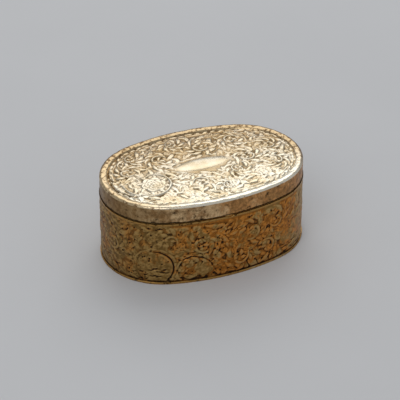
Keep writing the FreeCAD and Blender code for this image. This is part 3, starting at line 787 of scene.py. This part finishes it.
# %% Foot wire and rim wire
WIRE_STATIONS = 420
FOOT_HIGH, FOOT_OUT, FOOT_BOW, FOOT_IN = 1.1, 0.36, 0.24, -1.7
along = stations(WIRE_STATIONS)
bow = [(FOOT_OUT + FOOT_BOW * math.sin(math.pi * t), FOOT_HIGH * t) for t in np.linspace(0, 1, 9)]
section = same_section(along, bow + [(FOOT_IN, FOOT_HIGH), (FOOT_IN, 0.0)])
bowed = section[:, 1:8]
bowed[..., 0] -= knocks(
    along[:, None], bowed[..., 1], seed=3, size=1.2, depth=0.12, count=60, low=0, high=FOOT_HIGH
)
foot = add_ring("foot_wire_ring", along, section, "box", "foot_wire", 55)

WIRE_LOW, WIRE_HIGH, WIRE_OUT, WIRE_IN, WIRE_END = 30.55, 31.85, 0.32, 0.02, 13.4
wire_gate = back_distance(WIRE_END)
even = np.linspace(wire_gate, GIRTH - wire_gate, WIRE_STATIONS)
along = np.unique(np.concatenate([even, nick_places]))
wire_top = np.minimum(WIRE_HIGH, SEAM - nick_cut(along))
curve = np.linspace(0, math.pi, 9)
wire_half = 0.5 * (wire_top - WIRE_LOW)[:, None]
round_out = 0.05 + (WIRE_OUT - 0.05) * np.sin(curve)[None, :] ** 0.6
round_up = (WIRE_LOW + wire_half) - wire_half * np.cos(curve)[None, :]
flat_up = np.column_stack([wire_top, np.full_like(along, WIRE_LOW)])
flat_in = np.stack([np.full_like(flat_up, WIRE_IN), flat_up], -1)
section = np.concatenate([np.stack([np.broadcast_to(round_out, round_up.shape), round_up], -1), flat_in], 1)
rim_wire = add_ring("rim_wire_ring", along, section, "box", "rim_wire", 55, closed=False)

# %% Lid band
BAND_TOP, BAND_THICK, BAND_ROUND, BAND_ROWS = 39.3, 0.6, 0.3, 26
LID_STATIONS = 640
along = stations(LID_STATIONS, step_places)
band_low = SEAM + seat_height(along, 0.0)
corner = np.linspace(0, math.pi / 2, 5)[:-1]
low_round = [(-BAND_ROUND * (1 - math.sin(a)), BAND_ROUND * (1 - math.cos(a))) for a in corner]
rounded = np.stack([np.stack([np.full_like(along, o), band_low + z], -1) for o, z in low_round], 1)
face_low = band_low[:, None] + BAND_ROUND
rows_z = face_low + (BAND_TOP - face_low) * np.linspace(0, 1, BAND_ROWS)
dents = knocks(along[:, None], rows_z, seed=5, size=1.6, depth=0.16, count=150, low=32.5, high=39.0)
dents *= np.clip((BAND_TOP - 0.1 - rows_z) / 0.6, 0, 1)
BAND_STAINS = [  # along, up, half length, half height
    (FRONT - 25.0, 35.0, 0.6, 1.6), (FRONT - 16.0, 34.0, 1.9, 0.6),
    (FRONT - 33.0, 34.0, 2.2, 0.6), (FRONT + 9.0, 33.5, 3.4, 0.6),
]
stain = np.zeros_like(rows_z)
for place, up, long, tall in BAND_STAINS:
    gap, drop = (along[:, None] - place) / long, (rows_z - up) / tall
    stain = np.maximum(stain, np.exp(-(gap**2) - drop**2))
face = np.stack([-dents - 0.1 * stain, rows_z], -1)
inner_z = [np.full_like(along, z) for z in (BAND_TOP, 36.0)] + [SEAM + seat_height(along, -BAND_THICK)]
behind_band = np.stack([np.stack([np.full_like(along, -BAND_THICK), z], -1) for z in inner_z], 1)
section = np.concatenate([rounded, face, behind_band], 1)
shares = [len(low_round) + BAND_ROWS, len(inner_z)]
marks = {
    "inside": np.broadcast_to(np.repeat([0.0, 1.0], shares), section.shape[:2]),
    "stain": np.pad(stain, [(0, 0), (len(low_round), len(inner_z))]),
}
band = add_ring("lid_band_ring", along, section, "lid", "lid_band", 55, marks)

# %% Rolled border
ROLL_OUT, ROLL_RISE, ROLL_IN, ROLL_FALL = 1.5, 1.1, 1.7, 0.35
quarter, slope = np.linspace(0, math.pi / 2, 15), np.linspace(0.12, 0.94, 9)
along = stations(LID_STATIONS)
roll = [(ROLL_OUT * math.cos(a) - ROLL_OUT, BAND_TOP + ROLL_RISE * math.sin(a)) for a in quarter]
roll += [(-ROLL_OUT - ROLL_IN * t, BAND_TOP + ROLL_RISE - ROLL_FALL * t**2) for t in slope]
roll += [(-3.3, 39.88), (-3.55, 39.6), (-3.75, BAND_TOP)]
section = same_section(along, roll)
crown = section[:, 2 : len(roll) - 3]
crown[..., 1] -= knocks(
    along[:, None], -crown[..., 0], seed=9, size=1.1, depth=0.10, count=260, low=0.2, high=3.0
)
marks = {"outward": np.clip(1.45 + section[..., 0], 0, 1)}
border = add_ring("lid_border_ring", along, section, "lid", "lid_border", 60, marks)

# %% [markdown]
# ## Finishes
# Gilding on old metal is never one colour: it is bright where hands rub, brown where dirt stays, and
# thin gold lets the copper-brown base show. Some tones here also stand in for light: painted shade in
# the hollows, on the wall and at the back of the lid, painted highlights on raised places and edges.
# So each finish mixes a few tones by masks, from the hollows marked on the mesh and from noise. To
# keep that readable, a small class wraps a socket so that masks are written as sums and products,
# and one method adds any other node. Places along an axis are in metres, as Blender has them.

# %% Shader maths in plain Python
class Mask:
    """a socket of a finish; arithmetic with it adds Math nodes"""

    def __init__(self, finish, socket):
        self.finish, self.socket = finish, socket

    def maths(self, operation, *values):
        return self.finish.node("ShaderNodeMath", {"operation": operation}, dict(enumerate(values)))

    def __add__(self, other):
        return self.maths("ADD", self, other)

    def __sub__(self, other):
        return self.maths("SUBTRACT", self, other)

    def __rsub__(self, other):
        return self.maths("SUBTRACT", other, self)

    def __mul__(self, other):
        return self.maths("MULTIPLY", self, other)

    __radd__, __rmul__ = __add__, __mul__

    def between(self, low, high):
        """0 below low, 1 above high, smooth between"""
        sockets = {"Value": self, "From Min": low, "From Max": high}
        return self.finish.node("ShaderNodeMapRange", {"interpolation_type": "SMOOTHSTEP"}, sockets)


class Finish:
    """a material; what varies over it is built from masks, the rest is set on the shader"""

    def __init__(self, name, **constants):
        self.material = bpy.data.materials.new(name)
        self.material.use_nodes = True
        self.tree = self.material.node_tree
        self.shader = self.tree.nodes["Principled BSDF"]
        for socket, value in constants.items():
            self.shader.inputs[socket.replace("_", " ").title()].default_value = value

    def feed(self, socket, value):
        if isinstance(value, Mask):
            self.tree.links.new(value.socket, socket)
        elif isinstance(value, tuple) and len(value) == 3 and len(socket.default_value) == 4:
            socket.default_value = (*value, 1.0)
        else:
            socket.default_value = value

    def node(self, kind, settings, sockets, output=0):
        node = self.tree.nodes.new(kind)
        for name, value in settings.items():
            setattr(node, name, value)
        for name, value in sockets.items():
            self.feed(node.inputs[name], value)
        return Mask(self, node.outputs[output])

    def mix(self, mask, first, second):
        """a colour from first to second as the mask goes from 0 to 1"""
        return self.node("ShaderNodeMix", {"data_type": "RGBA"}, {"Factor": mask, 6: first, 7: second}, 2)

    def place(self):
        return self.node("ShaderNodeTexCoord", {}, {}, "Object")

    def part(self, axis):
        return self.node("ShaderNodeSeparateXYZ", {}, {"Vector": self.place()}, axis)

    def noise(self, per_mm, detail=3.0, rough=0.55, stretch=(1, 1, 1)):
        """noise with about this many waves in a millimetre"""
        scale = tuple(1000 * per_mm * s for s in stretch)
        scaled = self.node("ShaderNodeMapping", {}, {"Vector": self.place(), "Scale": scale})
        sockets = {"Vector": scaled, "Scale": 1.0, "Detail": detail, "Roughness": rough}
        return self.node("ShaderNodeTexNoise", {}, sockets, "Fac")

    def oval(self, x, y, half_length, half_width):
        """0 in the middle of an oval given in millimetres, 1 on its line, more outside"""
        across = (self.part("X") - x * MM) * (1 / (half_length * MM))
        deep = (self.part("Y") - y * MM) * (1 / (half_width * MM))
        return across * across + deep * deep

    def mark(self, name):
        return self.node("ShaderNodeAttribute", {"attribute_name": name}, {}, "Fac")

    def paint(self, **sockets):
        for name, value in sockets.items():
            self.feed(self.shader.inputs[name.replace("_", " ").title()], value)
        print(f"{self.material.name}: {len(self.tree.nodes)} nodes")
        return self.material

    def metal(self, colour, rough, ripple, depth_mm):
        """the painted metal, with a ripple of this depth"""
        sockets = {"Height": ripple, "Distance": depth_mm * MM, "Strength": 1.0}
        bump = self.node("ShaderNodeBump", {}, sockets)
        return self.paint(base_color=colour, roughness=rough, normal=bump)


def tone(red, green, blue):
    """a screen colour, 0 to 255, as the linear light that a shader wants"""
    shares = (red / 255, green / 255, blue / 255)
    return tuple(((v + 0.055) / 1.055) ** 2.4 if v > 0.04 else v / 12.92 for v in shares)


SATIN_GOLD = tone(204, 170, 108)


# %% [markdown]
# ## Gilding of the lid
# The lid is the brightest part: pale champagne gold on the raised leaves, brown in the hollows, as
# dirt and painted shade. Towards the back it is browner, which is painted shade, and the cartouche
# and the ground round the rose are painted lighter as painted highlights. Bump noise adds the small
# ripple that hammered sheet keeps.

# %% Lid finish
finish = Finish("chased_lid_gilding", metallic=1.0)
hollow = finish.mark("hollow")
cloud = finish.noise(0.12)
grain = finish.noise(1.6, 2.0)
# Painted shade: this mask of the back makes the lid browner there, in tan, shade and warm below.
shaded_back = finish.part("Y").between(-0.030, 0.034)
# Painted highlights: the cartouche and the ground round the rose are painted lighter.
plain = 1 - finish.oval(0, 0, 13.5, 5.0).between(0.7, 1.1)
on_rose = 1 - finish.oval(-27, -5, 11, 11).between(0.2, 1.2)
rubbed_and_highlight = (1 - 0.45 * plain) * (1 - 0.5 * on_rose)
tan = (hollow + (cloud - 0.5) + 0.25 * shaded_back).between(-0.25, 0.45) * rubbed_and_highlight
# Darker in the hollows: dirt and painted shade.
dirt_and_shade = (hollow + 0.4 * (cloud - 0.5)).between(0.2, 0.9) * (1 - 0.15 * shaded_back)
bright = finish.mix(cloud.between(0.35, 0.65), tone(241, 233, 212), tone(231, 216, 184))
warm = finish.mix(tan * (0.55 + 0.35 * shaded_back), bright, tone(176, 145, 94))
shade = finish.mix(hollow.between(-0.4, 0.25), tone(204, 178, 136), tone(120, 90, 52))
warm = finish.mix(0.7 * shaded_back * (1 - 0.4 * plain), warm, shade)
inside = finish.mark("inside")
colour = finish.mix(inside, finish.mix(dirt_and_shade, warm, tone(106, 80, 42)), SATIN_GOLD)
rough = 0.24 + 0.2 * dirt_and_shade + 0.1 * grain + 0.12 * inside
lid_sheet.data.materials.append(finish.metal(colour, rough, grain, 0.05))

# %% [markdown]
# ## Gilding of the wall
# The wall is darker than the lid, partly as painted shade: dull olive-gold where the gilding holds,
# orange-brown where it has worn thin, nearly black in the cut lines, as dirt and painted shade, and
# dirty along the foot. Raised places are painted lighter, as wear and painted highlight. The left
# end is duller and darker, the right end a little greyer.

# %% Wall finish
finish = Finish("chased_wall_gilding", metallic=0.8)
hollow, low = finish.mark("hollow"), finish.mark("low")
patch = finish.noise(0.11, 4.0, 0.6)
spots = finish.noise(0.5, 3.0, 0.6)
specks = finish.noise(1.0, 3.0, 0.7)
mottle = finish.noise(0.27, 3.0, 0.6)
grain = finish.noise(1.5, 2.0)
east = finish.part("X")
west = 1 - east.between(-0.047, -0.004)
orange_side = east.between(-0.034, 0.004) * (1 - 0.7 * east.between(0.022, 0.044))
uneven = 0.9 * (mottle - 0.5) + 0.45 * (spots - 0.5)
thin = (patch + 0.22 * orange_side + 0.16 * low + uneven).between(0.5, 0.72)
lifted = spots - 0.3 * hollow
# The wall's tones are darker than the lid's, partly as painted shade.
olive = finish.mix(lifted.between(0.35, 0.75), tone(142, 108, 52), tone(192, 154, 94))
brown = finish.mix(lifted.between(0.35, 0.7), tone(148, 92, 27), tone(208, 136, 54))
worn_gold = finish.mix(thin, olive, brown)
# Raised places painted lighter: wear and painted highlight.
rubbed_and_highlight = (0.6 * (spots - 0.5) - hollow).between(0.15, 0.7)
worn_gold = finish.mix(0.45 * rubbed_and_highlight, worn_gold, tone(172, 144, 94))
worn_gold = finish.mix(0.35 * east.between(0.03, 0.046), worn_gold, tone(178, 152, 110))
dull_gold = finish.mix(lifted.between(0.38, 0.62), tone(76, 52, 18), tone(156, 124, 68))
worn_gold = finish.mix(0.5 * west, worn_gold, dull_gold)
foot_dirt = 1 - finish.part("Z").between(0.0012, 0.0045)
base_grime = (1 - finish.part("Z").between(0.003, 0.011)) * mottle.between(0.46, 0.62)
# Hollows darker as dirt and painted shade; dirt along the foot.
shade_and_dirt_amount = hollow + 0.2 * low + 0.8 * foot_dirt * spots + 0.3 * base_grime
scattered = 0.9 * (spots - 0.52) + (0.7 + 1.3 * west) * (specks - 0.5)
dirt_and_shade = (shade_and_dirt_amount + scattered).between(0.12, 0.85)
inside = finish.mark("inside")
colour = finish.mix(inside, finish.mix(dirt_and_shade, worn_gold, tone(42, 26, 9)), SATIN_GOLD)
rough = 0.4 + 0.2 * dirt_and_shade * (1 - inside) + 0.12 * grain
wall_sheet.data.materials.append(finish.metal(colour, rough, grain, 0.05))

# %% [markdown]
# ## Plain gilding
# Band, border, wires and the inside carry no chasing. Band and border are knocked and spotted; the
# border is painted near-white in front as a painted highlight and brown at the back as painted shade.
# The wires are spotted and carry a painted glint in front, and the inside has kept its satin gold.

# %% Band finish
finish = Finish("band_gilding", metallic=0.9)
patch = finish.noise(0.09, 4.0, 0.6)
spots = finish.noise(0.42, 5.0, 0.7)
grain = finish.noise(1.8, 2.0)
east = finish.part("X")
west = 1 - east.between(-0.047, -0.018)
copper = (patch + 0.3 * east.between(-0.02, 0.01)).between(0.5, 0.8)
base = finish.mix(copper, tone(230, 196, 148), tone(220, 160, 98))
base = finish.mix(0.6 * finish.noise(0.3, 3.0, 0.6).between(0.42, 0.66), base, tone(158, 106, 58))
base = finish.mix(0.35 * finish.noise(0.9, 3.0, 0.65).between(0.42, 0.62), base, tone(138, 104, 60))
base = finish.mix(0.75 * west, base, tone(122, 92, 48))
low_dirt = 1 - finish.part("Z").between(0.0321, 0.0327)
dull = (0.6 * spots + 0.4 * patch).between(0.42, 0.58)
dirt_and_shade = (spots + 0.5 * low_dirt + 0.15 * finish.mark("stain")).between(0.56, 0.72)
colour = finish.mix(dirt_and_shade, finish.mix(dull * 0.7, base, tone(118, 88, 50)), tone(36, 23, 10))
colour = finish.mix(finish.mark("inside"), colour, SATIN_GOLD)
rough = 0.34 + 0.2 * dirt_and_shade + 0.1 * grain
band.data.materials.append(finish.metal(colour, rough, spots + 0.4 * grain, 0.07))

# %% Border finish
finish = Finish("border_gilding", metallic=1.0)
spots = finish.noise(0.6, 4.0, 0.65)
grain = finish.noise(1.6, 2.0)
west = 1 - finish.part("X").between(-0.044, -0.012)
# Painted shade: the back and right of the border are painted browner, the outer slope most.
shaded_back = (finish.part("Y") + 0.35 * finish.part("X")).between(-0.012, 0.018)
specks = (spots + 0.08 * west + 0.1 * shaded_back).between(0.58, 0.72)
# The near-white front tone is partly a painted highlight on the rolled edge.
base = finish.mix(west * 0.8, tone(247, 238, 216), tone(204, 174, 124))
base = finish.mix(shaded_back * 0.85, base, tone(184, 154, 106))
base = finish.mix(shaded_back * finish.mark("outward"), base, tone(112, 76, 40))
colour = finish.mix(specks * 0.8, base, tone(110, 76, 38))
rough = 0.2 + 0.25 * specks + 0.1 * grain
border.data.materials.append(finish.metal(colour, rough, spots, 0.05))

# %% Wire finish
finish = Finish("wire_gilding", metallic=1.0)
spots = finish.noise(0.5, 4.0, 0.65)
grain = finish.noise(1.8, 2.0)
seam_dirt = finish.part("Z").between(0.0315, 0.0319)
dirt_and_shade = (spots + 0.5 * seam_dirt).between(0.52, 0.72)
east, front = finish.part("X"), 1 - finish.part("Y").between(-0.012, 0.0)
glint = east.between(0.004, 0.012) * (1 - east.between(0.024, 0.034)) * front
glint = glint * (1 - finish.part("Z").between(0.003, 0.006)) * finish.noise(0.5, 2.0).between(0.42, 0.58)
colour = finish.mix(dirt_and_shade, tone(176, 134, 74), tone(44, 27, 9))
colour = finish.mix(0.6 * glint, colour, tone(206, 178, 128))
wire_material = finish.metal(colour, 0.3 + 0.25 * dirt_and_shade, spots + 0.3 * grain, 0.06)
for ring in (foot, rim_wire):
    ring.data.materials.append(wire_material)

# %% Satin inside and hinge metal
finish = Finish("inside_gilding", metallic=1.0)
cloud = finish.noise(0.08, 3.0)
brushed = finish.noise(0.9, 2.0, 0.5, (1, 1, 0.12))
colour = finish.mix(cloud.between(0.35, 0.7), tone(214, 180, 116), tone(190, 150, 90))
inside_material = finish.metal(colour, 0.34 + 0.15 * brushed, brushed, 0.02)

finish = Finish("hinge_tube_metal", metallic=1.0)
drawn = finish.noise(1.2, 2.0, 0.5, (0.1, 1, 1))
spots = finish.noise(0.6, 3.0)
colour = finish.mix(spots.between(0.42, 0.66), tone(160, 124, 72), tone(92, 66, 34))
hinge_material = finish.metal(colour, 0.28 + 0.2 * drawn, drawn, 0.02)

HINGE_NODES = ["body_knuckle_left", "body_knuckle_middle", "body_knuckle_right"]
HINGE_NODES += ["lid_knuckle_left", "lid_knuckle_right", "hinge_pin"]
for node in ("base_plate", "bezel", "body_hinge_bearer", "lid_hinge_bearer"):
    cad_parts[node].data.materials[0] = inside_material
for node in HINGE_NODES:
    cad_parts[node].data.materials[0] = hinge_material

# %% [markdown]
# ## Floor, light and camera
# A pale floor and soft boxes, as for a catalogue picture. Metal shows what it mirrors: from this
# camera the lid mirrors the room behind and to the right, so one soft box hangs there, and the wall
# mirrors the floor. A second box, in front at the left, lights the wall and the floor. The camera is a
# long lens fitted to the outline of the photograph.

# %% Floor and room
finish = Finish("pale_floor", roughness=0.8)
colour = finish.mix(finish.noise(0.01), tone(206, 206, 206), tone(212, 212, 212))
mesh = bpy.data.meshes.new("floor")
mesh.from_pydata([(-4, -4, 0), (4, -4, 0), (4, 4, 0), (-4, 4, 0)], [], [(0, 1, 2, 3)])
mesh.materials.append(finish.paint(base_color=colour))
floor = bpy.data.objects.new("floor", mesh)
bpy.context.collection.objects.link(floor)

world = bpy.data.worlds.new("room")
bpy.context.scene.world = world
world.use_nodes = True
background = world.node_tree.nodes["Background"].inputs
background["Color"].default_value = (*tone(200, 203, 208), 1.0)
background["Strength"].default_value = 0.7


# %% Soft boxes
def soft_box(name, place, aim, width, height, power):
    lamp = bpy.data.lights.new(name, "AREA")
    lamp.shape, lamp.size, lamp.size_y, lamp.energy = "RECTANGLE", width, height, power
    box = bpy.data.objects.new(name, lamp)
    box.location = place
    box.rotation_euler = (Vector(aim) - Vector(place)).to_track_quat("-Z", "Y").to_euler()
    bpy.context.collection.objects.link(box)
    print(f"{name}: {width} x {height} m, {power} W")


soft_box("back_box", (0.28, 0.65, 0.84), (0, 0, 0.03), 0.9, 0.95, 3.4)
soft_box("front_box", (-0.5, -0.6, 0.9), (0, 0, 0), 0.7, 0.7, 2.6)

# %% Camera
AZIMUTH, ELEVATION, DISTANCE = math.radians(-22.95), math.radians(33.11), 0.9035
camera = bpy.data.cameras.new("camera")
camera.lens, camera.sensor_width = 180.0, 36.0
viewer = bpy.data.objects.new("camera", camera)
target = Vector((-0.0005, 0.0009, 0.0208))
level = math.cos(ELEVATION)
away = Vector((level * math.sin(AZIMUTH), -level * math.cos(AZIMUTH), math.sin(ELEVATION)))
viewer.location = target + DISTANCE * away
viewer.rotation_euler = (target - viewer.location).to_track_quat("-Z", "Y").to_euler()
bpy.context.collection.objects.link(viewer)
bpy.context.scene.camera = viewer
bpy.context.scene.view_settings.view_transform = "Standard"
print("camera at", [round(v, 3) for v in viewer.location])
